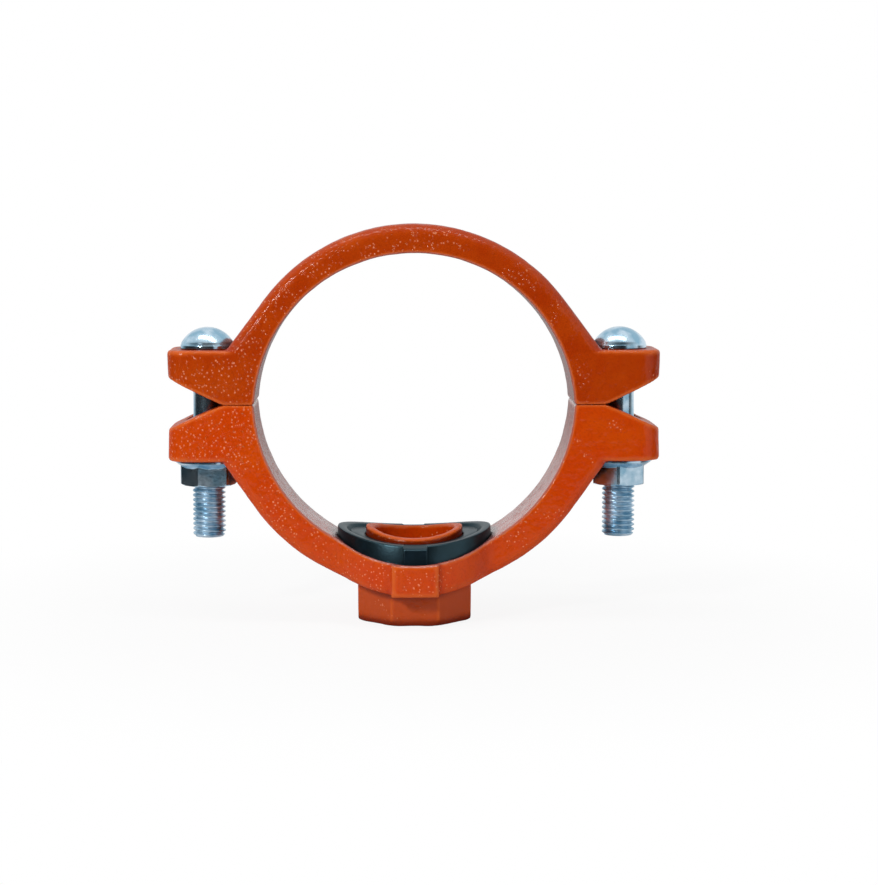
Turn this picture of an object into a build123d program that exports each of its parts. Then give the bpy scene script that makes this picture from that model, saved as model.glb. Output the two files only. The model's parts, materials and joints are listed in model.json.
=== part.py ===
from build123d import *

import math
import os

# Mechanical tee for a DN100 run pipe with a DN25 female threaded outlet.
# A plain strap half and an outlet half close round the pipe on two oval-neck track bolts with
# flange nuts. The outlet half holds a saddle gasket round the collar that drops into the hole
# cut in the pipe.
# Millimetres. The origin is on the run pipe's axis, in the parting plane of the two halves and
# midway along the strap. +X points to the right ear, +Y along the pipe, +Z away from the outlet.

# ------------------------------------------------------------------ run pipe and its saddle
pipe_diameter = 114.3
saddle_clearance = 0.45  # radial play between the pipe and the cast saddle
strap_width = 30.0  # of both halves, along the pipe
opening_reach = 1.0  # how far a cutting tool runs past the face it leaves by

# ------------------------------------------------------------------ strap half, above
strap_bore_offset = 3.4  # its bore's centre lies this far past the parting plane
strap_side_wall = 9.6
strap_crown_wall = 10.4
strap_ear_height = 19.5  # bolt seat above the parting plane
strap_tip_gap = 9.5  # ear's underside above the parting plane, at its tip
strap_flare_to_bolt = 7.6  # the flare's foot on the bolt seat, in from the bolt's axis
strap_edge_round = 4.2  # outer edges of the band

# ------------------------------------------------------------------ outlet half, below
outlet_bore_offset = 1.8
outlet_side_wall = 12.8
outlet_crown_wall = 11.6
outlet_ear_height = 20.6  # nut seat below the parting plane
outlet_tip_gap = 8.8
outlet_flare_to_bolt = 5.6
outlet_edge_round = 3.6

# ------------------------------------------------------------------ ears, both halves
bolt_standoff = 17.45  # bolt's axis outside the saddle
ear_overhang = 13.9  # ear's tip outside the bolt's axis
ear_draft = 0.7  # the tip leans in by this much towards the parting plane
ear_corner_radius = 7.0  # of the ear's end, in plan
ear_edge_chamfer = 0.8
pad_to_bolt = 6.0  # the meeting pad ends this far in from the bolt's axis
pad_corner_radius = 4.0  # where the pad turns into the ear's sloping side
seat_clearance = 0.45  # spot face round the bolt head and the nut's flange

# ------------------------------------------------------------------ outlet boss and collar
outlet_length = 79.5  # run pipe's axis to the end of the outlet
boss_across_flats = 41.2
boss_end_chamfer = 1.1  # turned on the octagon's corners
collar_bore_radius = 14.6
collar_wall = 3.15
collar_proud = 7.6  # above the saddle, into the hole in the pipe
collar_edge_chamfer = 0.7
thread_minor_radius = 15.15  # 1 inch pipe thread
thread_depth = 20.0
thread_mouth_chamfer = 1.7

# ------------------------------------------------------------------ gasket and its pocket
gasket_radius = 28.05  # outside, seen along the outlet
gasket_proud = 6.6  # above the saddle midway between its ends, before it is squeezed
gasket_flatness = 48.0  # its top is this much flatter in radius than the saddle
gasket_clearance = 0.25
gasket_floor_clearance = 0.1
pocket_depth = 6.0  # below the saddle
pocket_rim = 2.2  # casting left round the pocket
lip_width = 3.4  # outer sealing lip
groove_width = 1.1
groove_depth = 1.0
inner_land_drop = 0.8  # the land beside the collar, below the lip
tab_width = 8.5  # locating tabs, one on each side along the pipe
tab_reach = 0.9  # past the gasket's round
tab_drop = 0.7  # the tab's top below the lip
rim_pad_width = 17.0  # thickened rim round each tab's notch
rim_pad_wall = 2.2  # casting left outside the notch
rim_pad_round = 1.4
rim_pad_inset = 0.1  # its underside, above the round of the outlet half
bulge_blend = 7.0  # plan radius from the band into the round housing

# ------------------------------------------------------------------ track bolts, M12 x 70
bolt_thread_diameter = 11.8
bolt_shank_diameter = 10.8
bolt_length = 68.8  # under the head
bolt_thread_length = 36.0
bolt_end_chamfer = 0.9
head_diameter = 19.5
head_height = 7.8
head_rim = 1.6  # straight edge below the dome
neck_length = 4.6  # oval neck under the head
neck_width = 11.9
neck_reach = 15.4  # the oval's long way, across the pipe
slot_clearance = 0.55  # round the oval neck, in both ears' cored slots

# ------------------------------------------------------------------ flange nuts, M12
nut_across_flats = 18.4
nut_height = 9.6
nut_bore_clearance = 0.06
nut_corner_chamfer = 1.0
nut_mouth_chamfer = 0.6
nut_left_turn = 10.0  # degrees the hexagons happen to stand at
nut_right_turn = 30.0
flange_diameter = 24.4
flange_rim = 1.2
flange_height = 2.7  # where its cone runs out on the hexagon

# ------------------------------------------------------------------ worked out from the above
saddle_radius = pipe_diameter / 2 + saddle_clearance
bolt_axis_x = saddle_radius + bolt_standoff
ear_tip_x = bolt_axis_x + ear_overhang
pad_edge_x = bolt_axis_x - pad_to_bolt
collar_radius = collar_bore_radius + collar_wall
collar_top_radius = saddle_radius - collar_proud
pocket_radius = gasket_radius + gasket_clearance
pocket_floor_radius = saddle_radius + pocket_depth
bulge_radius = pocket_radius + pocket_rim
notch_reach = pocket_radius + tab_reach
rim_pad_reach = notch_reach + rim_pad_wall
outlet_depth = saddle_radius - outlet_bore_offset + outlet_crown_wall
slot_length = neck_reach + 2 * slot_clearance
slot_width = neck_width + 2 * slot_clearance
bolt_end_z = strap_ear_height - bolt_length
above = Plane((0, 0, 0), x_dir=(1, 0, 0), z_dir=(0, -1, 0))  # sketches for the strap half
below = Plane((0, 0, 0), x_dir=(1, 0, 0), z_dir=(0, 1, 0))  # the same, upside down
saddle_axis = Plane((0, 0, outlet_bore_offset), x_dir=(1, 0, 0), z_dir=(0, -1, 0))


def band(half, offset, side_wall, crown_wall, ear_height, flare_to_bolt, width):
    """The curved band of one half, seen along the pipe and extruded to its width.

    The outside is an arc with a straight flare tangent to it, which runs on into the ear.
    """
    outer_radius = saddle_radius + side_wall
    outer_centre = saddle_radius - offset + crown_wall - outer_radius
    foot = Vector(bolt_axis_x - flare_to_bolt, ear_height)
    reach = math.hypot(foot.X, foot.Y - outer_centre)
    foot_angle = math.atan2(foot.Y - outer_centre, foot.X)
    flare_angle = math.degrees(foot_angle + math.acos(outer_radius / reach))
    bore_angle = math.degrees(math.asin(offset / saddle_radius))
    with BuildSketch(half) as outline:
        with BuildLine():
            crown = CenterArc((0, outer_centre), outer_radius, flare_angle, 90 - flare_angle)
            bore = CenterArc((0, -offset), saddle_radius, bore_angle, 90 - bore_angle)
            flare = foot - crown @ 0
            buried = foot + flare * (ear_height / 2 / -flare.Y)
            Polyline(crown @ 0, buried, (pad_edge_x, 0), bore @ 0)
            Line(crown @ 1, bore @ 1)
        make_face()
        mirror(about=Plane.YZ)
    extrude(outline.sketch, amount=width / 2, both=True)


def outer_edges(side_wall):
    """The long outer edges of a band: those of its arc, its flares and what blends into them."""
    part = BuildPart._get_context().part
    arcs = part.faces().filter_by(GeomType.CYLINDER)
    arcs = arcs.filter_by(lambda face: abs(face.radius - saddle_radius - side_wall) < 0.001)
    edges = arcs.edges().filter_by(lambda edge: edge.bounding_box().size.X > 1)
    return edges


def ears(half, offset, ear_height, tip_gap):
    """Both ears of one half: a flat seat, a sloping underside and a pad on the parting plane."""
    bore_x = math.sqrt(saddle_radius**2 - offset**2)
    tip_lean = ear_draft * (ear_height - tip_gap) / ear_height
    with BuildPart() as pair:
        with BuildSketch(half):
            with BuildLine():
                Polyline(
                    (bore_x + pad_to_bolt, 0),
                    (pad_edge_x, 0),
                    (ear_tip_x - tip_lean, tip_gap),
                    (ear_tip_x, ear_height),
                    (bolt_axis_x - 2 * pad_to_bolt, ear_height),
                    close=True,
                )
            pad_corner = make_face().vertices().sort_by(Axis.Y).group_by(Axis.Y)[0].sort_by(Axis.X)[-1]
            fillet(pad_corner, radius=pad_corner_radius)
        extrude(amount=strap_width / 2, both=True)
        tip_edges = pair.edges().filter_by(Axis.Z, tolerance=10).group_by(Axis.X)[-1]
        fillet(tip_edges, radius=ear_corner_radius)
        rims = pair.faces().filter_by(Plane.XY).sort_by(Axis.Z)
        seat = rims[-1] if half is above else rims[0]
        chamfer(seat.edges().filter_by(lambda edge: edge.center().X > pad_edge_x), length=ear_edge_chamfer)
        mirror(about=Plane.YZ)
    return pair.part


def bolt_holes(seat_z, seat_radius, away):
    """The cored slot through each ear and the spot face that seats a head or a flange."""
    places = [(side * bolt_axis_x, 0) for side in (-1, 1)]
    with BuildSketch(Plane.XY) as slots:
        with Locations(*places):
            SlotOverall(slot_length, slot_width)
    extrude(slots.sketch, amount=seat_z + away * opening_reach, mode=Mode.SUBTRACT)
    with BuildSketch(Plane.XY.offset(seat_z)) as seats:
        with Locations(*places):
            Circle(seat_radius + seat_clearance)
    extrude(seats.sketch, amount=away * saddle_radius, mode=Mode.SUBTRACT)


def saddle_cylinder(radius, mode=Mode.ADD, flatness=0.0):
    """A cylinder along the pipe that reaches down to the given radius of the outlet half's bore.

    Its own radius may be larger by the flatness, and its centre is then as much higher.
    """
    with BuildSketch(saddle_axis) as section:
        with Locations((0, flatness)):
            Circle(radius + flatness)
    extrude(section.sketch, amount=rim_pad_reach + opening_reach, both=True, mode=mode)


def outlet_disc(radius, mode=Mode.ADD, hole=0.0):
    """A disc or ring about the outlet's axis, from the run pipe's axis down past the pocket."""
    with BuildSketch(Plane.XY) as section:
        Circle(radius)
        if hole:
            Circle(hole, mode=Mode.SUBTRACT)
    extrude(section.sketch, amount=-outlet_depth, mode=mode)


# ------------------------------------------------------------------ strap half
strap_ears = ears(above, strap_bore_offset, strap_ear_height, strap_tip_gap)
with BuildPart() as strap_housing:
    band(
        above,
        strap_bore_offset,
        strap_side_wall,
        strap_crown_wall,
        strap_ear_height,
        strap_flare_to_bolt,
        strap_width,
    )
    fillet(outer_edges(strap_side_wall), radius=strap_edge_round)
    add(strap_ears)
    bolt_holes(strap_ear_height, head_diameter / 2, 1)

# ------------------------------------------------------------------ outlet half
outlet_ears = ears(below, outlet_bore_offset, outlet_ear_height, outlet_tip_gap)

with BuildPart() as outlet_band:  # the band and the round housing grown from it
    band(
        below,
        outlet_bore_offset,
        outlet_side_wall,
        outlet_crown_wall,
        outlet_ear_height,
        outlet_flare_to_bolt,
        2 * bulge_radius,
    )
    with BuildSketch(Plane.XY):
        Rectangle(2 * ear_tip_x, strap_width)
        Circle(bulge_radius)
        necks = vertices().filter_by(lambda corner: math.hypot(corner.X, corner.Y) < bulge_radius + 0.001)
        fillet(necks, radius=bulge_blend)
    extrude(amount=-outlet_length, mode=Mode.INTERSECT)
    fillet(outer_edges(outlet_side_wall), radius=outlet_edge_round)

with BuildPart() as rim_pads:  # square rims in front and behind, round the gasket's tabs
    with BuildSketch(Plane.XY):
        Rectangle(rim_pad_width, 2 * rim_pad_reach)
    extrude(amount=-(outlet_depth - rim_pad_inset))
    saddle_cylinder(saddle_radius, Mode.SUBTRACT)
    rim_faces = rim_pads.faces().filter_by(Plane.XZ)
    lower_edges = rim_faces.edges().filter_by(lambda edge: edge.center().Z < -saddle_radius)
    fillet(lower_edges, radius=rim_pad_round)

with BuildPart() as boss:  # octagon with a turned end
    with BuildSketch(Plane.XY.offset(-outlet_length)):
        RegularPolygon(boss_across_flats / 2, 8, major_radius=False, rotation=22.5)
    extrude(amount=outlet_length - saddle_radius)
    corner_radius = boss_across_flats / 2 / math.cos(math.pi / 8)
    with BuildSketch(Plane.XZ):
        with BuildLine():
            Polyline(
                (0, -outlet_length),
                (corner_radius - boss_end_chamfer, -outlet_length),
                (corner_radius + opening_reach, -outlet_length + boss_end_chamfer + opening_reach),
                (corner_radius + opening_reach, -saddle_radius),
                (0, -saddle_radius),
                close=True,
            )
        make_face()
    revolve(axis=Axis.Z, mode=Mode.INTERSECT)

with BuildPart() as pocket:  # the gasket's seat, with a notch for each tab
    outlet_disc(pocket_radius, hole=collar_radius)
    with BuildSketch(Plane.XY):
        with Locations((0, notch_reach / 2 + collar_radius / 2), (0, -notch_reach / 2 - collar_radius / 2)):
            Rectangle(tab_width + 2 * gasket_clearance, notch_reach - collar_radius)
    extrude(amount=-outlet_depth)
    saddle_cylinder(pocket_floor_radius, Mode.INTERSECT)

with BuildPart() as collar:  # locates in the hole in the pipe
    outlet_disc(collar_radius)
    saddle_cylinder(collar_top_radius, Mode.SUBTRACT)
    rim = collar.edges().group_by(Axis.Z)[-1]
    chamfer(rim, length=collar_edge_chamfer)

with BuildPart() as outlet_housing:
    add(outlet_band.part)
    add(outlet_ears)
    add(rim_pads.part)
    add(boss.part)
    add(pocket.part, mode=Mode.SUBTRACT)
    add(collar.part)
    with BuildSketch(Plane.XZ):  # waterway, thread and its countersunk mouth
        with BuildLine():
            Polyline(
                (0, 0),
                (collar_bore_radius, 0),
                (collar_bore_radius, thread_depth - outlet_length),
                (thread_minor_radius, thread_depth - outlet_length),
                (thread_minor_radius, thread_mouth_chamfer - outlet_length),
                (thread_minor_radius + thread_mouth_chamfer, -outlet_length),
                (0, -outlet_length),
                close=True,
            )
        make_face()
    revolve(axis=Axis.Z, mode=Mode.SUBTRACT)
    bolt_holes(-outlet_ear_height, flange_diameter / 2, -1)

# ------------------------------------------------------------------ gasket
with BuildPart() as gasket_body:
    outlet_disc(gasket_radius, hole=collar_radius + gasket_clearance)
    saddle_cylinder(pocket_floor_radius - gasket_floor_clearance, Mode.INTERSECT)
    saddle_cylinder(saddle_radius - gasket_proud, Mode.SUBTRACT, gasket_flatness)

with BuildPart() as gasket_relief:  # the land beside the collar and the groove inside the lip
    outlet_disc(gasket_radius - lip_width)
    saddle_cylinder(
        saddle_radius - gasket_proud + inner_land_drop, Mode.INTERSECT, gasket_flatness
    )

with BuildPart() as gasket_groove:
    outlet_disc(gasket_radius - lip_width, hole=gasket_radius - lip_width - groove_width)
    saddle_cylinder(
        saddle_radius - gasket_proud + inner_land_drop + groove_depth,
        Mode.INTERSECT,
        gasket_flatness,
    )

with BuildPart() as gasket_tabs:
    with BuildSketch(Plane.XY):
        Rectangle(tab_width, 2 * (gasket_radius + tab_reach))
        Circle(gasket_radius - lip_width / 2, mode=Mode.SUBTRACT)
    extrude(amount=-outlet_depth)
    saddle_cylinder(pocket_floor_radius - gasket_floor_clearance, Mode.INTERSECT)
    saddle_cylinder(saddle_radius - gasket_proud + tab_drop, Mode.SUBTRACT, gasket_flatness)

with BuildPart() as gasket:
    add(gasket_body.part)
    add(gasket_relief.part, mode=Mode.SUBTRACT)
    add(gasket_groove.part, mode=Mode.SUBTRACT)
    add(gasket_tabs.part)


# ------------------------------------------------------------------ bolts
def track_bolt(axis_x):
    """Oval-neck track bolt hanging from its head's seat at the given place along X."""
    shank_radius = bolt_shank_diameter / 2
    thread_radius = bolt_thread_diameter / 2
    head_radius = head_diameter / 2
    seat_z = strap_ear_height
    thread_top = bolt_end_z + bolt_thread_length
    runout = thread_radius - shank_radius
    with BuildPart() as bolt:
        with BuildSketch(Plane.XZ):
            with BuildLine():
                rim_top = (head_radius, seat_z + head_rim)
                crown = (0, seat_z + head_height)
                dome_rise = head_height - head_rim
                dome_radius = (head_radius**2 + dome_rise**2) / (2 * dome_rise)
                RadiusArc(rim_top, crown, -dome_radius)
                Polyline(
                    crown,
                    (0, bolt_end_z),
                    (thread_radius - bolt_end_chamfer, bolt_end_z),
                    (thread_radius, bolt_end_z + bolt_end_chamfer),
                    (thread_radius, thread_top),
                    (shank_radius, thread_top + runout),
                    (shank_radius, seat_z),
                    (head_radius, seat_z),
                    rim_top,
                )
            make_face()
        revolve(axis=Axis.Z)
        with BuildSketch(Plane.XY.offset(seat_z)):
            SlotOverall(neck_reach, neck_width)
        extrude(amount=-neck_length)
    return bolt.part.moved(Location((axis_x, 0, 0)))


bolt_left = track_bolt(-bolt_axis_x)
bolt_right = track_bolt(bolt_axis_x)


# ------------------------------------------------------------------ nuts
def flange_nut(axis_x, turn):
    """Hexagon flange nut against the outlet half's ear, its flange up, turned by some degrees."""
    top = -outlet_ear_height
    bottom = top - nut_height
    corner_radius = nut_across_flats / 2 / math.cos(math.pi / 6)
    bore_radius = bolt_thread_diameter / 2 + nut_bore_clearance
    with BuildPart() as nut:
        with BuildSketch(Plane.XY.offset(top)):
            RegularPolygon(nut_across_flats / 2, 6, major_radius=False, rotation=turn)
        extrude(amount=-nut_height)
        with BuildSketch(Plane.XZ):
            with BuildLine():
                Polyline(
                    (0, bottom),
                    (corner_radius - nut_corner_chamfer, bottom),
                    (corner_radius + opening_reach, bottom + nut_corner_chamfer + opening_reach),
                    (corner_radius + opening_reach, top),
                    (0, top),
                    close=True,
                )
            make_face()
        revolve(axis=Axis.Z, mode=Mode.INTERSECT)
        with BuildSketch(Plane.XZ):
            with BuildLine():
                Polyline(
                    (0, top),
                    (flange_diameter / 2, top),
                    (flange_diameter / 2, top - flange_rim),
                    (nut_across_flats / 2, top - flange_height),
                    (0, top - flange_height),
                    close=True,
                )
            make_face()
        revolve(axis=Axis.Z)
        Hole(radius=bore_radius)
        mouth = nut.faces().sort_by(Axis.Z)[0].inner_wires()[0].edges()
        chamfer(mouth, length=nut_mouth_chamfer)
    return nut.part.moved(Location((axis_x, 0, 0)))


nut_left = flange_nut(-bolt_axis_x, nut_left_turn)
nut_right = flange_nut(bolt_axis_x, nut_right_turn)

# ------------------------------------------------------------------ label and write each piece
pieces = {
    "strap_housing": strap_housing.part,
    "outlet_housing": outlet_housing.part,
    "gasket": gasket.part,
    "bolt_left": bolt_left,
    "bolt_right": bolt_right,
    "nut_left": nut_left,
    "nut_right": nut_right,
}
os.makedirs("parts", exist_ok=True)
for name, piece in pieces.items():
    piece.label = name
    export_step(piece, f"parts/{name}.step")
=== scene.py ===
"""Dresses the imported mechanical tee: two painted castings, a rubber gasket and zinc fasteners.

Sizes are in millimetres unless a name says otherwise. Places come from the frame's own boxes.
"""

from __future__ import annotations

import json
import logging
import math
from dataclasses import dataclass, field
from enum import Enum
from typing import Any

import bmesh
import bpy
import numpy as np
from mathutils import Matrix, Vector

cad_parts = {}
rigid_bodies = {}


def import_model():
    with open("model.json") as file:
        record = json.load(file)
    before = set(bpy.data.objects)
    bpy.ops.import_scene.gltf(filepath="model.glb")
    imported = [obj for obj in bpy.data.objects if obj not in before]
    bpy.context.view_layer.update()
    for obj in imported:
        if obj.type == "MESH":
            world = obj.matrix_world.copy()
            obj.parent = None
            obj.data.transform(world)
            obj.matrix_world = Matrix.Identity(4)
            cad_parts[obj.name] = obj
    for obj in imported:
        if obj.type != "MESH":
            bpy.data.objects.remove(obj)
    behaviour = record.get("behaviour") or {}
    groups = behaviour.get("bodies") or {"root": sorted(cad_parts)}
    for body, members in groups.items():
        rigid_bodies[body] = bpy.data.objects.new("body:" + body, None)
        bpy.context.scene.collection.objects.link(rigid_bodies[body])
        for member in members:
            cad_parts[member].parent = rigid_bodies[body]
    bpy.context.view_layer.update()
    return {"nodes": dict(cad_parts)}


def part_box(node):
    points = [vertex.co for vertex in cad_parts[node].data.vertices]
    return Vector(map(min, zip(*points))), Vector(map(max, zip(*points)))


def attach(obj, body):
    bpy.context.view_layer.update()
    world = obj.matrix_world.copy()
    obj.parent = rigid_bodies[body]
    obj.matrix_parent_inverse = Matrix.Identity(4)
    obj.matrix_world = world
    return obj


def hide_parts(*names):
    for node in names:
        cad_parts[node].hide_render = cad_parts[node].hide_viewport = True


MM = 0.001  # metres in a millimetre
TURN = 2 * math.pi
FLOOR_GAP = 0.05  # millimetres between the boss's end and the floor
LOG = logging.getLogger("tee")


# ---------------------------------------------------------------- small tools
class Seam(Enum):
    """How the rows of a grid of points close."""

    OPEN = "open"  # the first and last rows are edges or poles
    RING = "ring"  # the last row joins the first


def linear(hex_colour: str) -> tuple[float, float, float, float]:
    """Turns an sRGB hex colour into linear RGBA.

    Args:
        hex_colour: Six hex digits, with or without a leading #.

    Returns:
        Red, green and blue in linear light, and an alpha of 1.
    """
    digits = hex_colour.lstrip("#")
    channels = [int(digits[i : i + 2], 16) / 255 for i in (0, 2, 4)]
    parts = [c / 12.92 if c <= 0.04045 else ((c + 0.055) / 1.055) ** 2.4 for c in channels]
    return (parts[0], parts[1], parts[2], 1.0)


def add_node(
    tree: bpy.types.NodeTree,
    kind: str,
    settings: dict[str, Any] | None = None,
    inputs: dict[Any, Any] | None = None,
) -> bpy.types.Node:
    """Adds a node with its settings, its plain input values and its links.

    Args:
        tree: The node tree that gets the node.
        kind: The node's type, such as ShaderNodeBump.
        settings: Attribute values of the node itself.
        inputs: Socket name or index to a value, or to another node's output socket.

    Returns:
        The new node.
    """
    node = tree.nodes.new(kind)
    for name, value in (settings or {}).items():
        setattr(node, name, value)
    for name, value in (inputs or {}).items():
        if isinstance(value, bpy.types.NodeSocket):
            tree.links.new(value, node.inputs[name])
        else:
            node.inputs[name].default_value = value
    return node


def blank_material(name: str) -> tuple[bpy.types.Material, bpy.types.NodeTree]:
    """Makes a node material with nothing in its tree.

    Args:
        name: The material's name.

    Returns:
        The material and its empty tree.
    """
    material = bpy.data.materials.new(name)
    material.use_nodes = True
    material.node_tree.nodes.clear()
    return material, material.node_tree


def millimetre_coordinates(tree: bpy.types.NodeTree) -> bpy.types.NodeSocket:
    """Object coordinates scaled so that a pattern's scale is in one over millimetres."""
    place = add_node(tree, "ShaderNodeTexCoord").outputs["Object"]
    size = (1 / MM, 1 / MM, 1 / MM)
    return add_node(tree, "ShaderNodeMapping", None, {"Vector": place, "Scale": size}).outputs[0]


def circle_angles(count: int) -> np.ndarray:
    """Evenly spaced angles round a turn, without the last one, which is the first again."""
    return np.arange(count) * (TURN / count)


def smooth_step(value: np.ndarray, start: float, end: float) -> np.ndarray:
    """Rises from 0 at start to 1 at end by the cubic 3t^2 - 2t^3."""
    t = np.clip((value - start) / (end - start), 0, 1)
    return t * t * (3 - 2 * t)


def grid_object(
    name: str, points: np.ndarray, seam: Seam = Seam.OPEN, sharp_deg: float = 32.0
) -> bpy.types.Object:
    """Makes a smooth-shaded object from a grid of points whose columns go round and close.

    Args:
        name: The object's name.
        points: Rows by columns by 3, in millimetres.
        seam: Whether the last row joins the first.
        sharp_deg: Edges that turn more than this stay sharp.

    Returns:
        The new object, at the origin, with its faces pointing outwards.
    """
    rows, columns = points.shape[:2]
    index = np.arange(rows * columns).reshape(rows, columns)
    if seam is Seam.RING:
        index = np.vstack([index, index[:1]])
    right = np.roll(index, -1, axis=1)
    quads = np.stack([index[:-1], right[:-1], right[1:], index[1:]], axis=-1).reshape(-1, 4)
    mesh = bpy.data.meshes.new(name)
    mesh.from_pydata((points.reshape(-1, 3) * MM).tolist(), [], quads.tolist())
    return finish_mesh(name, mesh, sharp_deg)


def finish_mesh(name: str, mesh: bpy.types.Mesh, sharp_deg: float) -> bpy.types.Object:
    """Merges doubled points, turns faces outwards, shades them smooth and links an object.

    Args:
        name: The object's name.
        mesh: The mesh to finish.
        sharp_deg: Edges that turn more than this stay sharp.

    Returns:
        The new object.
    """
    work = bmesh.new()
    work.from_mesh(mesh)
    bmesh.ops.remove_doubles(work, verts=work.verts, dist=1e-4 * MM)
    bmesh.ops.recalc_face_normals(work, faces=work.faces)
    work.to_mesh(mesh)
    work.free()
    mesh.shade_smooth()
    mesh.set_sharp_from_angle(angle=math.radians(sharp_deg))
    made = bpy.data.objects.new(name, mesh)
    bpy.context.scene.collection.objects.link(made)
    return made


def revolve(radii: np.ndarray, heights: np.ndarray, centre: tuple[float, float]) -> np.ndarray:
    """Places a surface of radii round an upright axis.

    Args:
        radii: Rows by columns of radii, one column per angle.
        heights: The height of each row, or of each point.
        centre: The axis' x and y.

    Returns:
        Rows by columns by 3 points: x and y are the radius turned to its angle.
    """
    angles = circle_angles(radii.shape[1])
    z = np.broadcast_to(heights if heights.ndim == 2 else heights[:, None], radii.shape)
    x = centre[0] + radii * np.cos(angles)
    y = centre[1] + radii * np.sin(angles)
    return np.stack([x, y, z], axis=-1)


def box_mm(node: str) -> tuple[np.ndarray, np.ndarray]:
    """A frame node's lowest and highest corners in millimetres."""
    low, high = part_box(node)
    return np.array(low) / MM, np.array(high) / MM


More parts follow.
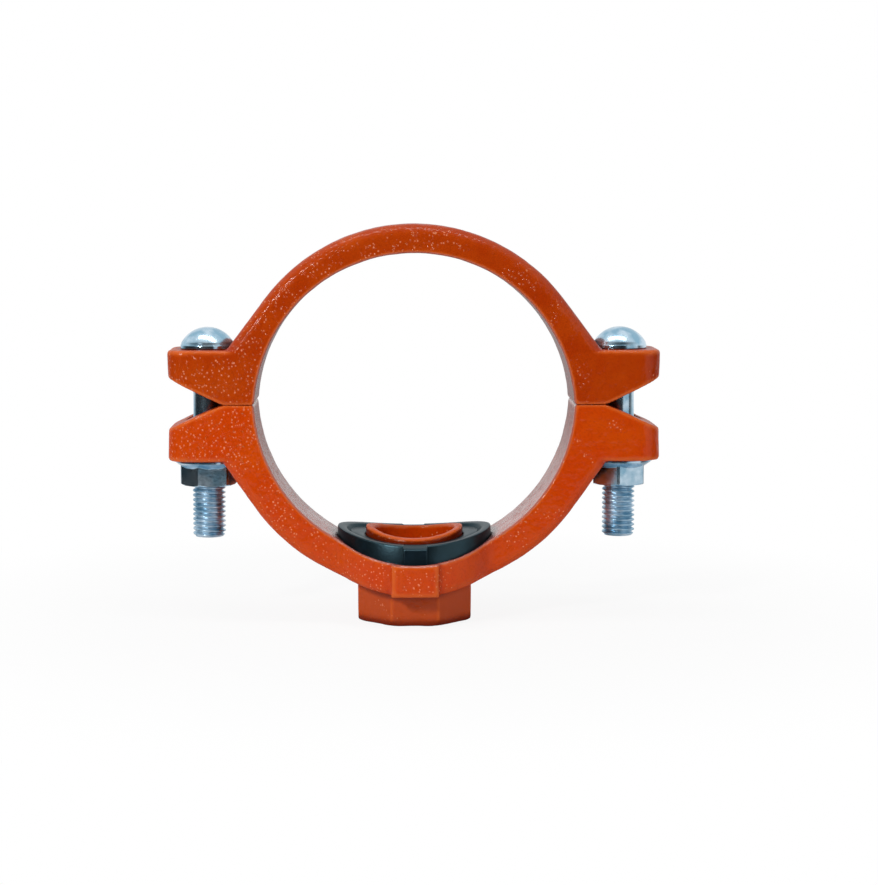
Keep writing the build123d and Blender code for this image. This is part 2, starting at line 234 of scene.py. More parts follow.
# ---------------------------------------------------------------- finishes
@dataclass(frozen=True)
class CastingPaint:
    """Alkyd enamel dipped over as-cast ductile iron.

    The enamel is glossy but thin, so the sand-cast skin under it stays bumpy: a lamp breaks up
    into sparkling grains, and the colour is a little deeper in the hollows. Painted light is drawn in
    too: pale glints on the grains, paler edges, darker corners and a grey reflection in the saddles.
    """

    name: str = "casting_paint"
    body_hex: str = "#CF4003"
    deep_hex: str = "#A02F02"
    blush_hex: str = "#D24A04"
    boss_hex: str = "#BC4E1C"  # a darker, duller colour drawn on the outlet's octagon
    boss_top: float = -66.0
    boss_fade: float = 2.0  # over which the octagon's film begins
    boss_share: float = 0.85
    painted_glint_hex: str = "#F5A070"  # painted glints: pale flecks drawn on the raised grains
    painted_glint_share: float = 0.6
    edge_highlight_hex: str = "#DE6522"  # painted highlight: convex edges are drawn paler
    edge_highlight_share: float = 0.75
    corner_shade_hex: str = "#7E2402"  # painted shade: concave corners are drawn darker
    corner_shade_share: float = 1.0
    corner_shade_reach: float = 4.0
    cloud_size: float = 16.0  # of the slow change in colour
    hollow_share: float = 0.22  # how much deeper the colour is in the peel's hollows
    grain_size: float = 1.2  # sand grains that stand out of the cast skin
    grain_share: float = 0.1  # share of the grains that stay sunk under the film
    patch_size: float = 9.0  # of the places where the grains stand out most
    boss_calm: float = 0.15  # how much less of them there is on the octagon
    patch_lean: float = 0.16  # and how much more of them there are on the left
    lean_reach: float = 80.0  # where the lean is full, to each side
    peel_size: float = 0.9  # fine peel of the enamel, drawn a little coarse so that it shows
    hammer_size: float = 2.4  # shallow hollows between the sand's lumps
    hammer_depth: float = 0.3
    grain_depth: float = 0.32
    peel_depth: float = 0.13
    body_relief: float = 0.12  # share of the relief that the colour under the gloss follows
    roughness: float = 0.5
    coat_roughness: float = 0.12
    coat_weight: float = 0.45
    saddle_height: float = 1.8  # of the axis of the half's saddle
    saddle_radius: float = 57.6
    saddle_reflection_hex: str = "#8E6A6C"  # painted reflection: the saddle faces are drawn grey, as if mirroring the pale backdrop
    saddle_reflection_share: float = 0.45

    def material(self) -> bpy.types.Material:
        """Builds the paint."""
        material, tree = blank_material(self.name)
        place = millimetre_coordinates(tree)
        cloud = add_node(
            tree,
            "ShaderNodeTexNoise",
            None,
            {"Vector": place, "Scale": 1 / self.cloud_size, "Detail": 3.0, "Roughness": 0.6},
        )
        grain = add_node(
            tree,
            "ShaderNodeTexVoronoi",
            {"feature": "F1"},
            {"Vector": place, "Scale": 1 / self.grain_size},
        )
        peel = add_node(
            tree,
            "ShaderNodeTexNoise",
            None,
            {"Vector": place, "Scale": 1 / self.peel_size, "Detail": 1.0},
        )
        colours = add_node(tree, "ShaderNodeValToRGB", None, {"Fac": cloud.outputs["Fac"]})
        ramp = colours.color_ramp
        ramp.elements[0].position, ramp.elements[0].color = 0.36, linear(self.body_hex)
        ramp.elements[1].position, ramp.elements[1].color = 0.68, linear(self.blush_hex)
        hammer = add_node(
            tree,
            "ShaderNodeTexNoise",
            None,
            {"Vector": place, "Scale": 1 / self.hammer_size, "Detail": 0.5},
        ).outputs["Fac"]
        hollow = add_node(
            tree,
            "ShaderNodeMapRange",
            None,
            {
                "Value": peel.outputs["Fac"],
                "From Min": 0.3,
                "From Max": 0.5,
                "To Min": self.hollow_share,
                "To Max": 0.0,
            },
        )
        dome = add_node(
            tree,
            "ShaderNodeMapRange",
            {"interpolation_type": "SMOOTHSTEP"},
            {"Value": grain.outputs["Distance"], "From Max": 0.5, "To Min": 1.0, "To Max": 0.0},
        ).outputs[0]
        chance = add_node(
            tree,
            "ShaderNodeMapRange",
            {"interpolation_type": "SMOOTHSTEP"},
            {
                "Value": grain.outputs["Color"],
                "From Min": self.grain_share,
                "From Max": self.grain_share + 0.25,
            },
        ).outputs[0]
        raised = add_node(
            tree, "ShaderNodeMath", {"operation": "MULTIPLY"}, {0: dome, 1: chance}
        ).outputs[0]
        patch = add_node(
            tree,
            "ShaderNodeTexNoise",
            None,
            {"Vector": place, "Scale": 1 / self.patch_size, "Detail": 1.0},
        )
        apart = add_node(tree, "ShaderNodeSeparateXYZ", None, {0: place})
        lean = add_node(
            tree,
            "ShaderNodeMapRange",
            None,
            {
                "Value": apart.outputs["X"],
                "From Min": -self.lean_reach,
                "From Max": self.lean_reach,
                "To Min": self.patch_lean,
                "To Max": -self.patch_lean,
            },
        ).outputs[0]
        on_boss = add_node(
            tree,
            "ShaderNodeMapRange",
            {"interpolation_type": "SMOOTHSTEP"},
            {
                "Value": apart.outputs["Z"],
                "From Min": self.boss_top,
                "From Max": self.boss_top - self.boss_fade,
                "To Max": self.boss_share,
            },
        ).outputs[0]
        lean = add_node(
            tree,
            "ShaderNodeMath",
            {"operation": "MULTIPLY_ADD"},
            {0: on_boss, 1: -self.boss_calm, 2: lean},
        ).outputs[0]
        patch_level = add_node(
            tree, "ShaderNodeMath", {"operation": "ADD"}, {0: patch.outputs["Fac"], 1: lean}
        ).outputs[0]
        rough_patch = add_node(
            tree,
            "ShaderNodeMapRange",
            {"interpolation_type": "SMOOTHSTEP"},
            {"Value": patch_level, "From Min": 0.42, "From Max": 0.58, "To Min": 0.08},
        ).outputs[0]
        raised = add_node(
            tree, "ShaderNodeMath", {"operation": "MULTIPLY"}, {0: raised, 1: rough_patch}
        ).outputs[0]
        colour = add_node(
            tree,
            "ShaderNodeMix",
            {"data_type": "RGBA"},
            {"Factor": hollow.outputs[0], 6: colours.outputs["Color"], 7: linear(self.deep_hex)},
        )
        colour = add_node(
            tree,
            "ShaderNodeMix",
            {"data_type": "RGBA"},
            {"Factor": on_boss, 6: colour.outputs[2], 7: linear(self.boss_hex)},
        )
        broken = add_node(
            tree, "ShaderNodeMath", {"operation": "MULTIPLY"}, {0: raised, 1: peel.outputs["Fac"]}
        ).outputs[0]
        # painted glints: the raised grains, more of them on the left, get pale flecks in place of the
        # lamp's sparkle
        on_painted_glint = add_node(
            tree,
            "ShaderNodeMapRange",
            {"interpolation_type": "SMOOTHSTEP"},
            {"Value": broken, "From Min": 0.12, "From Max": 0.5, "To Max": self.painted_glint_share},
        ).outputs[0]
        colour = add_node(
            tree,
            "ShaderNodeMix",
            {"data_type": "RGBA"},
            {"Factor": on_painted_glint, 6: colour.outputs[2], 7: linear(self.painted_glint_hex)},
        )
        # painted highlight: convex edges, found by pointiness, are drawn paler
        bend = add_node(tree, "ShaderNodeNewGeometry").outputs["Pointiness"]
        on_edge_highlight = add_node(
            tree,
            "ShaderNodeMapRange",
            {"interpolation_type": "SMOOTHSTEP"},
            {"Value": bend, "From Min": 0.505, "From Max": 0.535, "To Max": self.edge_highlight_share},
        ).outputs[0]
        colour = add_node(
            tree,
            "ShaderNodeMix",
            {"data_type": "RGBA"},
            {"Factor": on_edge_highlight, 6: colour.outputs[2], 7: linear(self.edge_highlight_hex)},
        )
        # painted shade: ambient occlusion darkens concave corners and grooves
        open_share = add_node(
            tree, "ShaderNodeAmbientOcclusion", {"samples": 8}, {"Distance": self.corner_shade_reach * MM}
        ).outputs["AO"]
        in_corner_shade = add_node(
            tree,
            "ShaderNodeMapRange",
            {"interpolation_type": "SMOOTHSTEP"},
            {"Value": open_share, "From Min": 0.97, "From Max": 0.68, "To Max": self.corner_shade_share},
        ).outputs[0]
        colour = add_node(
            tree,
            "ShaderNodeMix",
            {"data_type": "RGBA"},
            {"Factor": in_corner_shade, 6: colour.outputs[2], 7: linear(self.corner_shade_hex)},
        )
        # painted reflection: grey drawn over the saddle faces, which the same mask also gives a fuller
        # coat
        aside = add_node(
            tree,
            "ShaderNodeVectorMath",
            {"operation": "MULTIPLY_ADD"},
            {0: place, 1: (1.0, 0.0, 1.0), 2: (0.0, 0.0, -self.saddle_height)},
        ).outputs[0]
        from_pipe = add_node(
            tree, "ShaderNodeVectorMath", {"operation": "LENGTH"}, {0: aside}
        ).outputs["Value"]
        off_saddle = add_node(
            tree, "ShaderNodeMath", {"operation": "SUBTRACT"}, {0: from_pipe, 1: self.saddle_radius}
        ).outputs[0]
        off_saddle = add_node(
            tree, "ShaderNodeMath", {"operation": "ABSOLUTE"}, {0: off_saddle}
        ).outputs[0]
        in_saddle = add_node(
            tree,
            "ShaderNodeMapRange",
            {"interpolation_type": "SMOOTHSTEP"},
            {"Value": off_saddle, "From Min": 0.9, "From Max": 0.3},
        ).outputs[0]
        painted_reflection = add_node(
            tree, "ShaderNodeMath", {"operation": "MULTIPLY"}, {0: in_saddle, 1: self.saddle_reflection_share}
        ).outputs[0]
        colour = add_node(
            tree,
            "ShaderNodeMix",
            {"data_type": "RGBA"},
            {"Factor": painted_reflection, 6: colour.outputs[2], 7: linear(self.saddle_reflection_hex)},
        )
        gloss = add_node(
            tree,
            "ShaderNodeMapRange",
            None,
            {"Value": in_saddle, "To Min": self.coat_weight, "To Max": 1.0},
        ).outputs[0]
        smooth_saddle = add_node(
            tree, "ShaderNodeMath", {"operation": "SUBTRACT"}, {0: 1.0, 1: in_saddle}
        ).outputs[0]
        hammer = add_node(
            tree, "ShaderNodeMath", {"operation": "MULTIPLY"}, {0: hammer, 1: smooth_saddle}
        ).outputs[0]
        heights = (
            (hammer, self.hammer_depth),
            (raised, self.grain_depth),
            (peel.outputs["Fac"], self.peel_depth),
        )
        film = self.relief(tree, heights, 1.0)
        under = self.relief(tree, heights, self.body_relief)
        shader = add_node(
            tree,
            "ShaderNodeBsdfPrincipled",
            None,
            {
                "Base Color": colour.outputs[2],
                "Roughness": self.roughness,
                "Specular IOR Level": 0.0,
                "Coat Weight": gloss,
                "Coat Roughness": self.coat_roughness,
                "Coat IOR": 1.5,
                "Normal": under,
                "Coat Normal": film,
            },
        )
        add_node(tree, "ShaderNodeOutputMaterial", None, {"Surface": shader.outputs[0]})
        return material

    def relief(
        self,
        tree: bpy.types.NodeTree,
        heights: tuple[tuple[bpy.types.NodeSocket, float], ...],
        share: float,
    ) -> bpy.types.NodeSocket:
        """Tilts the surface by one height after another.

        Args:
            tree: The paint's tree.
            heights: Each height from 0 to 1, and its depth in millimetres.
            share: How much of each depth is used.

        Returns:
            The tilted normal.
        """
        normal = add_node(tree, "ShaderNodeNewGeometry").outputs["Normal"]
        for height, depth in heights:
            normal = add_node(
                tree,
                "ShaderNodeBump",
                None,
                {"Height": height, "Distance": depth * MM * share, "Normal": normal},
            ).outputs[0]
        return normal


@dataclass(frozen=True)
class ZincPlate:
    """Bright zinc electroplate with a clear blue passivate on cold-formed steel.

    It mirrors softly, with a cool tint that drifts a little over each piece and fine marks from
    the forming dies.
    """

    name: str = "zinc_plate"
    bright_hex: str = "#C8E0F0"
    blue_hex: str = "#8FB9D1"
    drift_size: float = 6.0
    mark_size: float = 0.7
    mark_depth: float = 0.003
    roughness_low: float = 0.15
    roughness_high: float = 0.24

    def material(self) -> bpy.types.Material:
        """Builds the plate."""
        material, tree = blank_material(self.name)
        place = millimetre_coordinates(tree)
        drift = add_node(
            tree,
            "ShaderNodeTexNoise",
            None,
            {"Vector": place, "Scale": 1 / self.drift_size, "Detail": 2.0},
        )
        marks = add_node(
            tree,
            "ShaderNodeTexNoise",
            None,
            {"Vector": place, "Scale": 1 / self.mark_size, "Detail": 4.0, "Roughness": 0.6},
        )
        colours = add_node(tree, "ShaderNodeValToRGB", None, {"Fac": drift.outputs["Fac"]})
        ramp = colours.color_ramp
        ramp.elements[0].position, ramp.elements[0].color = 0.4, linear(self.blue_hex)
        ramp.elements[1].position, ramp.elements[1].color = 0.6, linear(self.bright_hex)
        rough = add_node(
            tree,
            "ShaderNodeMapRange",
            None,
            {
                "Value": marks.outputs["Fac"],
                "From Min": 0.3,
                "From Max": 0.7,
                "To Min": self.roughness_low,
                "To Max": self.roughness_high,
            },
        )
        bump = add_node(
            tree,
            "ShaderNodeBump",
            None,
            {"Height": marks.outputs["Fac"], "Strength": 1.0, "Distance": self.mark_depth * MM * 3},
        )
        shader = add_node(
            tree,
            "ShaderNodeBsdfPrincipled",
            None,
            {
                "Base Color": colours.outputs["Color"],
                "Metallic": 1.0,
                "Roughness": rough.outputs[0],
                "Normal": bump.outputs[0],
            },
        )
        add_node(tree, "ShaderNodeOutputMaterial", None, {"Surface": shader.outputs[0]})
        return material


@dataclass(frozen=True)
class MouldedRubber:
    """Compression-moulded EPDM: blue-black, shiny from the polished mould, with faint bloom."""

    name: str = "gasket_rubber"
    body_hex: str = "#04080D"
    bloom_hex: str = "#0B1620"
    sheen_hex: str = "#8FC4D6"
    sheen_share: float = 0.085
    bloom_size: float = 5.0
    grain_size: float = 0.8
    grain_depth: float = 0.012
    roughness: float = 0.3

    def material(self) -> bpy.types.Material:
        """Builds the rubber."""
        material, tree = blank_material(self.name)
        place = millimetre_coordinates(tree)
        bloom = add_node(
            tree,
            "ShaderNodeTexNoise",
            None,
            {"Vector": place, "Scale": 1 / self.bloom_size, "Detail": 4.0, "Roughness": 0.65},
        )
        grain = add_node(
            tree,
            "ShaderNodeTexNoise",
            None,
            {"Vector": place, "Scale": 1 / self.grain_size, "Detail": 2.0},
        )
        colours = add_node(tree, "ShaderNodeValToRGB", None, {"Fac": bloom.outputs["Fac"]})
        ramp = colours.color_ramp
        ramp.elements[0].position, ramp.elements[0].color = 0.45, linear(self.body_hex)
        ramp.elements[1].position, ramp.elements[1].color = 0.75, linear(self.bloom_hex)
        bump = add_node(
            tree,
            "ShaderNodeBump",
            None,
            {"Height": grain.outputs["Fac"], "Strength": 1.0, "Distance": self.grain_depth * MM * 3},
        )
        body = add_node(
            tree,
            "ShaderNodeBsdfPrincipled",
            None,
            {
                "Base Color": colours.outputs["Color"],
                "Roughness": self.roughness,
                "Specular IOR Level": 0.05,
                "Normal": bump.outputs[0],
            },
        )
        sheen = add_node(
            tree,
            "ShaderNodeBsdfAnisotropic",
            None,
            {
                "Color": linear(self.sheen_hex),
                "Roughness": self.roughness,
                "Normal": bump.outputs[0],
            },
        )
        shader = add_node(
            tree,
            "ShaderNodeMixShader",
            None,
            {0: self.sheen_share, 1: body.outputs[0], 2: sheen.outputs[0]},
        )
        add_node(tree, "ShaderNodeOutputMaterial", None, {"Surface": shader.outputs[0]})
        return material


# ---------------------------------------------------------------- castings
@dataclass
class Castings:
    """The strap half and the outlet half, with the soft edges and uneven skin of sand casting."""

    paints: dict[str, bpy.types.Material]  # by node
    skin_step: float = 0.7  # of the closed skin drawn over each half
    soften_rounds: int = 2
    swell: float = 0.22  # unevenness of the skin, from hollow to crest
    swell_size: float = 5.5
    bodies: dict[str, str] = field(
        default_factory=lambda: {"strap_housing": "strap_half", "outlet_housing": "outlet_half"}
    )

    def build(self, nodes: dict[str, bpy.types.Object]) -> list[bpy.types.Object]:
        """Makes a cast skin for each half and lets it stand for the plain solid.

        Args:
            nodes: The frame's nodes by name.

        Returns:
            The two castings.
        """
        made = []
        for node, body in self.bodies.items():
            casting = self.skin(nodes[node])
            casting.data.materials.clear()
            casting.data.materials.append(self.paints[node])
            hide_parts(node)
            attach(casting, body)
            made.append(casting)
        return made

    def skin(self, node: bpy.types.Object) -> bpy.types.Object:
        """Draws one closed skin over a copy of a half, softens its edges and makes it uneven.

        Args:
            node: The half as it comes from the frame.

        Returns:
            The casting, a new object with its changes applied.
        """
        name = node.name.replace("housing", "casting")
        copy = finish_mesh(name + "_work", node.data.copy(), 30.0)
        remesh = copy.modifiers.new("skin", "REMESH")
        remesh.mode = "VOXEL"
        remesh.voxel_size = self.skin_step * MM
        soften = copy.modifiers.new("soften", "SMOOTH")
        soften.factor = 0.5
        soften.iterations = self.soften_rounds
        clouds = bpy.data.textures.new(name + "_swell", "CLOUDS")
        clouds.noise_scale = self.swell_size * MM
        clouds.noise_depth = 1
        swell = copy.modifiers.new("swell", "DISPLACE")
        swell.texture = clouds
        swell.texture_coords = "LOCAL"
        swell.strength = self.swell * MM
        swell.mid_level = 0.5
        bpy.context.view_layer.update()
        done = copy.evaluated_get(bpy.context.evaluated_depsgraph_get())
        mesh = bpy.data.meshes.new_from_object(done)
        mesh.name = name
        bpy.data.objects.remove(copy)
        bpy.data.textures.remove(clouds)
        mesh.shade_smooth()
        casting = bpy.data.objects.new(name, mesh)
        bpy.context.scene.collection.objects.link(casting)
        return casting


@dataclass
class OutletThread:
    """The branch outlet's female pipe thread, cut in the painted casting."""

    paint: bpy.types.Material
    minor_radius: float = 15.15  # the plain bore of the solid, which the ridges stand on
    ridge: float = 0.75
    pitch: float = 2.21  # 11 1/2 threads to the inch
    mouth: float = 1.7  # the countersink that the thread starts behind
    length: float = 17.6
    columns: int = 160
    rows_per_turn: int = 14

    def build(self) -> list[bpy.types.Object]:
        """Makes the ridges: the radius falls from the bore by a rounded wave along a helix."""
        end = box_mm("outlet_housing")[0][2]
        start = end + self.mouth
        count = int(self.length / self.pitch * self.rows_per_turn)
        z = np.linspace(start, start + self.length, count)
        phase = (z[:, None] - start) / self.pitch - circle_angles(self.columns)[None, :] / TURN
        wave = 0.5 - 0.5 * np.cos(TURN * phase)
        run = smooth_step(z, start, start + self.pitch) * (
            1 - smooth_step(z, z[-1] - self.pitch, z[-1])
        )
        inner = self.minor_radius - self.ridge * wave**0.8 * run[:, None]
        back = np.full((2, self.columns), self.minor_radius + 0.4)
        radii = np.vstack([inner, back])
        heights = np.concatenate([z, [z[-1], z[0]]])
        ridges = grid_object(
            "outlet_thread_ridges", revolve(radii, heights, (0.0, 0.0)), Seam.RING, 60
        )
        ridges.data.materials.append(self.paint)
        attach(ridges, "outlet_half")
        return [ridges]


# ---------------------------------------------------------------- gasket
@dataclass
class SaddleGasket:
    """The moulded ring that seals the collar on the pipe, with a lip, a groove and two tabs."""

    rubber: bpy.types.Material
    saddle_radius: float = 57.6
    saddle_height: float = 1.8  # of the outlet half's saddle axis
    proud: float = 6.6
    flatness: float = 48.0
    pocket_depth: float = 5.9
    inner_radius: float = 18.0
    lip_width: float = 3.4
    groove_width: float = 1.3
    groove_depth: float = 1.1
    land_drop: float = 0.8
    edge_round: float = 0.55
    tab_width: float = 8.5
    tab_reach: float = 0.9
    tab_drop: float = 1.1
    columns: int = 720

    def crown(self, x: np.ndarray) -> np.ndarray:
        """Height of the lip's top: a cylinder along the pipe, flatter than the saddle."""
        radius = self.saddle_radius - self.proud + self.flatness
        return self.saddle_height + self.flatness - np.sqrt(radius**2 - x**2)

    def floor(self, x: np.ndarray) -> np.ndarray:
        """Height of the underside: a cylinder along the pipe under the saddle."""
        return self.saddle_height - np.sqrt((self.saddle_radius + self.pocket_depth) ** 2 - x**2)

    def section(self, outer: float) -> list[tuple[float, float | None]]:
        """The ring's section as radius and drop below the crown, where None is the underside."""
        lip = outer - self.lip_width
        land = self.land_drop
        groove_in = lip - self.groove_width
        groove = land + self.groove_depth
        r = self.edge_round
        return [
            (self.inner_radius, None),
            (self.inner_radius, land + r),
            (self.inner_radius + 0.3 * r, land + 0.3 * r),
            (self.inner_radius + r, land),
            (groove_in - 0.4 * r, land),
            (groove_in, land + 0.4 * r),
            (groove_in + 0.1, groove - 0.2),
            (groove_in + 0.3, groove),
            (lip - 0.3, groove),
            (lip - 0.1, groove - 0.2),
            (lip, 0.7 * r),
            (lip + 0.3 * r, 0.2 * r),
            (lip + 0.8 * r, 0.0),
            (outer - 1.1 * r, 0.0),
            (outer - 0.35 * r, 0.3 * r),
            (outer, 1.0 * r),
            (outer, None),
        ]

    def build(self) -> list[bpy.types.Object]:
        """Carries the section round the collar; near the tabs the outer points move outwards."""
        low, high = box_mm("gasket")
        outer = (high[0] - low[0]) / 2
        angles = circle_angles(self.columns)
        across, along = np.cos(angles), np.sin(angles)
        tab = 1 - smooth_step(
            np.abs(outer * across), self.tab_width / 2 - 0.25, self.tab_width / 2 + 0.15
        )
        rows = []
        for radius, drop in self.section(outer):
            on_tab = tab if radius > outer - 0.9 else np.zeros_like(tab)
            tab_radius = (outer + self.tab_reach - (outer - radius)) / np.maximum(np.abs(along), 0.5)
            r = radius + on_tab * (tab_radius - radius)
            x = r * across
            if drop is None:
                z = self.floor(x)
            else:
                z = self.crown(x) - drop - on_tab * self.tab_drop
            rows.append(np.stack([x, r * along, z], axis=-1))
        ring = grid_object("saddle_gasket", np.array(rows), Seam.RING, 50)
        ring.data.materials.append(self.rubber)
        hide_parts("gasket")
        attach(ring, "outlet_half")
        return [ring]


# ---------------------------------------------------------------- fasteners
@dataclass
class TrackBolt:
    """An M12 oval-neck track bolt: domed head, oval neck, plain shank and rolled thread."""

    plate: bpy.types.Material
    thread_plate: bpy.types.Material
    side: str
    head_diameter: float = 19.5
    head_height: float = 7.8
    head_rim: float = 1.6
    rim_round: float = 0.5
    neck_length: float = 4.6
    neck_width: float = 11.9
    neck_reach: float = 15.4
    shank_diameter: float = 10.8
    thread_diameter: float = 11.85
    thread_depth: float = 1.0
    thread_length: float = 36.0
    pitch: float = 1.75
    point: float = 0.9  # chamfer at the end
    columns: int = 96
    rows_per_turn: int = 12

    def head_rows(self, seat: float) -> tuple[list[float], list[float]]:
        """Radius and height down the head: a spherical dome, a rounded rim and a flat underside."""
        radius = self.head_diameter / 2
        rise = self.head_height - self.head_rim
        dome = (radius**2 + rise**2) / (2 * rise)
        top = seat + self.head_height
        rim_angle = math.asin(radius / dome)
        sweep = np.linspace(0, 1, 22)[:-1] * rim_angle * 0.985
        radii = list(dome * np.sin(sweep))
        heights = list(top - dome + dome * np.cos(sweep))
        corner = np.linspace(math.pi / 4, 0, 5)
        r = self.rim_round
        radii += list(radius - r + r * np.cos(corner))
        heights += list(seat + self.head_rim - 0.45 * r + r * (np.sin(corner) - 0.5))
        radii += [radius, radius - 0.25]
        heights += [seat + 0.25, seat]
        return radii, heights

    def oval(self) -> np.ndarray:
        """Radius of the neck at each angle: two half rounds joined by flats, long across."""
        angles = circle_angles(self.columns)
        half = self.neck_width / 2
        straight = (self.neck_reach - self.neck_width) / 2
        c, s = np.abs(np.cos(angles)), np.abs(np.sin(angles))
        round_end = straight * c + np.sqrt(np.maximum(half**2 - (straight * s) ** 2, 0))
        flat = half / np.maximum(s, 1e-6)
        return np.where(flat * c < straight, flat, round_end)

    def thread_rows(self, bottom: float) -> tuple[np.ndarray, np.ndarray]:
        """Radii and heights down the thread: a trapezoid wave along a helix, faded at both ends.

        Args:
            bottom: Height of the bolt's end.

        Returns:
            Radii by row and column, and the heights of the rows.
        """
        top = bottom + self.thread_length
        count = int(self.thread_length / self.pitch * self.rows_per_turn)
        z = np.linspace(top, bottom, count)
        phase = (z[:, None] / self.pitch + circle_angles(self.columns)[None, :] / TURN) % 1.0
        ramp = np.abs(2 * phase - 1)  # 1 on a crest, 0 in a root
        shape = np.clip((ramp - 0.12) / 0.66, 0, 1)
        major = self.thread_diameter / 2
        cut = major - self.thread_depth * (1 - shape)
        plain = self.shank_diameter / 2
        start = smooth_step(top - z, 0, 2 * self.pitch)[:, None]
        radii = plain + (cut - plain) * start
        limit = major - self.point + np.minimum(z - bottom, self.point)
        return np.minimum(radii, limit[:, None]), z

    def build(self) -> list[bpy.types.Object]:
        """Makes one closed skin from the crown of the head to the end of the thread."""
        node = f"bolt_{self.side}"
        low, high = box_mm(node)
        centre = (low[0] + high[0]) / 2
        seat = high[2] - self.head_height
        one = np.ones(self.columns)
        head_radii, head_heights = self.head_rows(seat)
        oval = self.oval()
        plain = self.shank_diameter / 2
        thread, thread_heights = self.thread_rows(low[2])
        radii = [r * one for r in head_radii]
        radii += [oval + 0.5, oval + 0.1, oval, oval - 0.4, np.minimum(oval - 0.4, plain), plain * one]
        heights = head_heights + [
            seat,
            seat - 0.4,
            seat - self.neck_length + 0.4,
            seat - self.neck_length,
            seat - self.neck_length - 0.1,
            seat - self.neck_length - 0.3,
        ]
        radii = np.vstack([*radii, thread, 0.6 * thread[-1:], 0.0 * thread[-1:]])
        heights = np.concatenate([heights, thread_heights, [low[2], low[2]]])
        bolt = grid_object(
            f"track_bolt_{self.side}", revolve(radii, heights, (centre, 0.0)), Seam.OPEN, 42
        )
        bolt.data.materials.append(self.plate)
        bolt.data.materials.append(self.thread_plate)
        thread_top = (low[2] + self.thread_length) * MM
        for face in bolt.data.polygons:
            face.material_index = int(face.center.z < thread_top)
        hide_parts(node)
        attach(bolt, "strap_half")
        return [bolt]


@dataclass
class FlangeNut:
    """An M12 hexagon flange nut: the flange's cone runs out on the hexagon in six scallops."""

    plate: bpy.types.Material
    side: str
    turn_deg: float
    across_flats: float = 18.4
    corner_round: float = 0.35
    corner_chamfer: float = 1.1
    flange_rim: float = 1.1
    flange_height: float = 3.2
    bore_radius: float = 5.96
    mouth: float = 0.7
    columns: int = 240
    rows: int = 64

    def hexagon(self) -> np.ndarray:
        """Radius of the hexagon at each angle, with its corners slightly rounded off."""
        half = self.across_flats / 2
        offset = (circle_angles(self.columns) - math.radians(self.turn_deg)) % (TURN / 6)
        sharp = half / np.cos(offset - TURN / 12)
        corner = half / math.cos(TURN / 12)
        return np.minimum(sharp, corner - self.corner_round * (sharp / corner) ** 8)

    def build(self) -> list[bpy.types.Object]:
        """Joins hexagon, turned corners and flange cone by the larger or smaller radius."""
        node = f"nut_{self.side}"
        low, high = box_mm(node)
        centre = (low[0] + high[0]) / 2
        rim = (high[0] - low[0]) / 2
        half = self.across_flats / 2
        depth = np.linspace(0, high[2] - low[2], self.rows)
        total = depth[-1]
        fall = (depth - self.flange_rim) / (self.flange_height - self.flange_rim)
        cone = np.where(depth < self.flange_rim, rim, rim - (rim - half) * fall)
        edge = np.minimum(depth, 0.35)
        cone = cone - (0.35 - edge)
        corner = half / math.cos(TURN / 12)
        turned = corner - self.corner_chamfer + (total - depth) * 1.7
        body = np.minimum(self.hexagon()[None, :], turned[:, None])
        outer = np.maximum(body, np.where(depth < self.flange_height, cone, 0)[:, None])
        one = np.ones((1, self.columns))
        bore = self.bore_radius
        radii = np.vstack(
            [
                outer,
                (0.5 * outer[-1:] + 0.5 * (bore + self.mouth)),
                (bore + self.mouth) * one,
                bore * one,
                bore * one,
                (bore + 0.3) * one,
            ]
        )
        heights = np.concatenate(
            [high[2] - depth, [low[2], low[2], low[2] + self.mouth, high[2] - 0.3, high[2]]]
        )
        nut = grid_object(
            f"flange_nut_{self.side}", revolve(radii, heights, (centre, 0.0)), Seam.RING, 24
        )
        nut.data.materials.append(self.plate)
        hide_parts(node)
        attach(nut, f"{self.side}_nut")
        return [nut]


# ---------------------------------------------------------------- stage
@dataclass(frozen=True)
class Lamp:
    """A soft lamp that points at the tee, wide from side to side."""

    name: str
    place: tuple[float, float, float]  # millimetres
    sides: tuple[float, float]  # width and height
    watts: float
    hex_colour: str = "#FFFFFF"

    def build(self, target: tuple[float, float, float]) -> None:
        """Adds the lamp, turned to face a point in millimetres."""
        data = bpy.data.lights.new(self.name, "AREA")
        data.shape = "RECTANGLE"
        data.size, data.size_y = (side * MM for side in self.sides)
        data.energy = self.watts
        data.color = linear(self.hex_colour)[:3]
        lamp = bpy.data.objects.new(self.name, data)
        bpy.context.scene.collection.objects.link(lamp)
        lamp.location = [v * MM for v in self.place]
        aim = np.array(target) - np.array(self.place)
        flat = math.hypot(aim[0], aim[1])
        lamp.rotation_euler = (math.atan2(flat, -aim[2]), 0, math.atan2(-aim[0], aim[1]))


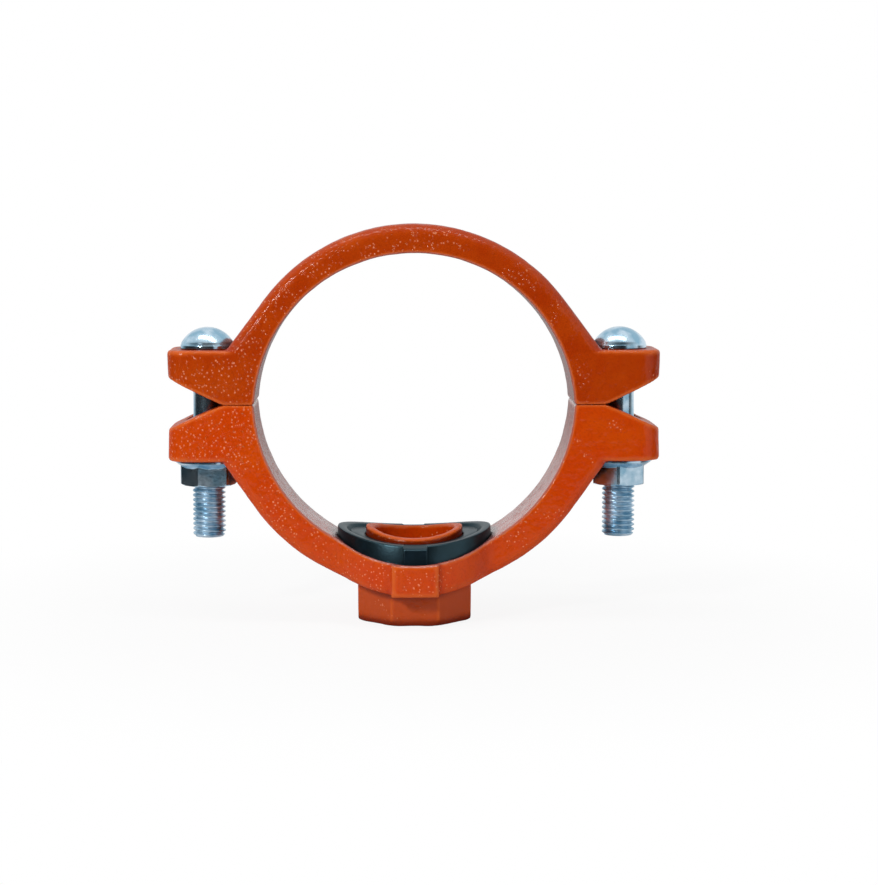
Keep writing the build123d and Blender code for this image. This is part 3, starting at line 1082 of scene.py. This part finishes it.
@dataclass
class Studio:
    """A white product studio: pale floor, surroundings darker behind the camera, soft lamps."""

    target: tuple[float, float, float] = (0.0, 0.0, -10.0)
    lens: float = 87.2  # on a 36 mm sensor
    camera_place: tuple[float, float, float] = (-9.62, -780.1, 70.21)
    look_down_deg: float = 6.245
    look_right_deg: float = 1.375
    floor_side: float = 560.0
    floor_front: float = 260.0  # the table ends this far in front, and mirrors see the dark beyond
    floor_back: float = 2500.0
    ceiling_pull: float = 1.1  # how far the bright part of the surroundings reaches overhead
    right_pull: float = 0.15  # and round to the right
    shadow_reach: float = 110.0  # the floor takes the full shadow this far from the tee
    shadow_end: float = 250.0  # and is plain white from here on
    lamps: tuple[Lamp, ...] = (
        Lamp("key_left", (-430.0, -600.0, 330.0), (110.0, 110.0), 3.0),
        Lamp("top_strip", (-40.0, -120.0, 720.0), (700.0, 110.0), 1.8),
        Lamp("right_soft", (760.0, -560.0, 120.0), (900.0, 700.0), 1.5),
    )

    def build(self) -> None:
        """Sets up the world, the floor, the lamps and the camera."""
        bpy.context.scene.view_settings.view_transform = "Standard"
        self.world()
        self.floor()
        for lamp in self.lamps:
            lamp.build(self.target)
        self.camera()

    def world(self) -> None:
        """White to the camera, and to mirrors behind the tee; darker where the camera stands."""
        world = bpy.data.worlds.new("studio")
        bpy.context.scene.world = world
        world.use_nodes = True
        tree = world.node_tree
        tree.nodes.clear()
        path = add_node(tree, "ShaderNodeLightPath")
        place = add_node(tree, "ShaderNodeTexCoord").outputs["Generated"]
        way = add_node(tree, "ShaderNodeSeparateXYZ", None, {0: place})
        along = way.outputs["Y"]
        raised = add_node(
            tree,
            "ShaderNodeMath",
            {"operation": "MULTIPLY_ADD"},
            {0: way.outputs["Z"], 1: self.ceiling_pull, 2: along},
        ).outputs[0]
        raised = add_node(
            tree,
            "ShaderNodeMath",
            {"operation": "MULTIPLY_ADD"},
            {0: way.outputs["X"], 1: self.right_pull, 2: raised},
        ).outputs[0]
        mirrored = add_node(
            tree,
            "ShaderNodeMapRange",
            {"interpolation_type": "SMOOTHSTEP"},
            {"Value": raised, "From Min": -0.1, "From Max": 0.75, "To Min": 0.03, "To Max": 0.9},
        ).outputs[0]
        scattered = add_node(
            tree,
            "ShaderNodeMapRange",
            None,
            {"Value": along, "From Min": -1.0, "From Max": 1.0, "To Min": 0.2, "To Max": 0.45},
        ).outputs[0]
        mirror = add_node(
            tree,
            "ShaderNodeMath",
            {"operation": "MAXIMUM"},
            {0: path.outputs["Is Glossy Ray"], 1: path.outputs["Is Transmission Ray"]},
        ).outputs[0]
        level = add_node(
            tree,
            "ShaderNodeMix",
            {"data_type": "FLOAT"},
            {"Factor": mirror, 2: scattered, 3: mirrored},
        ).outputs[0]
        strength = add_node(
            tree,
            "ShaderNodeMix",
            {"data_type": "FLOAT"},
            {"Factor": path.outputs["Is Camera Ray"], 2: level, 3: 1.0},
        ).outputs[0]
        background = add_node(
            tree, "ShaderNodeBackground", None, {"Color": (1, 1, 1, 1), "Strength": strength}
        )
        add_node(tree, "ShaderNodeOutputWorld", None, {"Surface": background.outputs[0]})

    def floor(self) -> None:
        """A pale floor under the outlet that glows to the camera and still takes the shadow."""
        low = box_mm("outlet_housing")[0][2]
        mesh = bpy.data.meshes.new("floor")
        front = -self.floor_front
        side = self.floor_side / 2
        corners = [(-side, front), (side, front), (side, self.floor_back), (-side, self.floor_back)]
        level = (low - FLOOR_GAP) * MM
        mesh.from_pydata([(x * MM, y * MM, level) for x, y in corners], [], [(0, 1, 2, 3)])
        floor = bpy.data.objects.new("floor", mesh)
        bpy.context.scene.collection.objects.link(floor)
        material, tree = blank_material("pale_floor")
        path = add_node(tree, "ShaderNodeLightPath")
        matt = add_node(tree, "ShaderNodeBsdfDiffuse", None, {"Color": linear("#EFEFF0")})
        glow = add_node(
            tree,
            "ShaderNodeEmission",
            None,
            {"Color": (1, 1, 1, 1), "Strength": path.outputs["Is Camera Ray"]},
        )
        place = add_node(tree, "ShaderNodeTexCoord").outputs["Object"]
        away = add_node(
            tree, "ShaderNodeVectorMath", {"operation": "LENGTH"}, {0: place}
        ).outputs["Value"]
        share = add_node(
            tree,
            "ShaderNodeMapRange",
            {"interpolation_type": "SMOOTHSTEP"},
            {
                "Value": away,
                "From Min": self.shadow_reach * MM,
                "From Max": self.shadow_end * MM,
                "To Min": 0.9,
                "To Max": 1.0,
            },
        ).outputs[0]
        both = add_node(
            tree, "ShaderNodeMixShader", None, {0: share, 1: matt.outputs[0], 2: glow.outputs[0]}
        )
        either = add_node(
            tree,
            "ShaderNodeMixShader",
            None,
            {0: path.outputs["Is Camera Ray"], 1: matt.outputs[0], 2: both.outputs[0]},
        )
        add_node(tree, "ShaderNodeOutputMaterial", None, {"Surface": either.outputs[0]})
        mesh.materials.append(material)

    def camera(self) -> None:
        """A long lens in front, a little above the tee and to its left."""
        data = bpy.data.cameras.new("camera")
        data.lens = self.lens
        data.sensor_width = 36.0
        data.clip_end = 20.0
        data.dof.use_dof = False
        camera = bpy.data.objects.new("camera", data)
        bpy.context.scene.collection.objects.link(camera)
        camera.location = [v * MM for v in self.camera_place]
        pitch, yaw = math.radians(self.look_down_deg), math.radians(self.look_right_deg)
        camera.rotation_euler = (math.pi / 2 - pitch, 0, -yaw)
        bpy.context.scene.camera = camera


def main() -> None:
    """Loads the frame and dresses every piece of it."""
    logging.basicConfig(level=logging.INFO, format="%(name)s: %(message)s")
    for stray in list(bpy.data.objects):
        bpy.data.objects.remove(stray)
    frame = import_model()
    paint = CastingPaint("outlet_paint").material()
    # painted shade: the strap half gets a deeper copy of the paint, so it looks less lit than the
    # outlet half
    strap_shaded_paint = CastingPaint(
        "strap_shaded_paint",
        body_hex="#B03502",
        deep_hex="#932C02",
        blush_hex="#BD4406",
        grain_share=0.22,
        saddle_height=-3.4,
    ).material()
    plate = ZincPlate().material()
    thread_plate = ZincPlate(
        "thread_zinc", mark_depth=0.0, roughness_low=0.34, roughness_high=0.38
    ).material()
    rubber = MouldedRubber().material()
    castings = Castings({"strap_housing": strap_shaded_paint, "outlet_housing": paint})
    pieces = castings.build(frame["nodes"])
    pieces += OutletThread(paint).build()
    pieces += SaddleGasket(rubber).build()
    for side, turn in (("left", 15.0), ("right", 24.0)):
        pieces += TrackBolt(plate, thread_plate, side).build()
        pieces += FlangeNut(plate, side, turn).build()
    for piece in pieces:
        LOG.info("%s: %d faces", piece.name, len(piece.data.polygons))
    Studio().build()


if __name__ == "__main__":
    main()
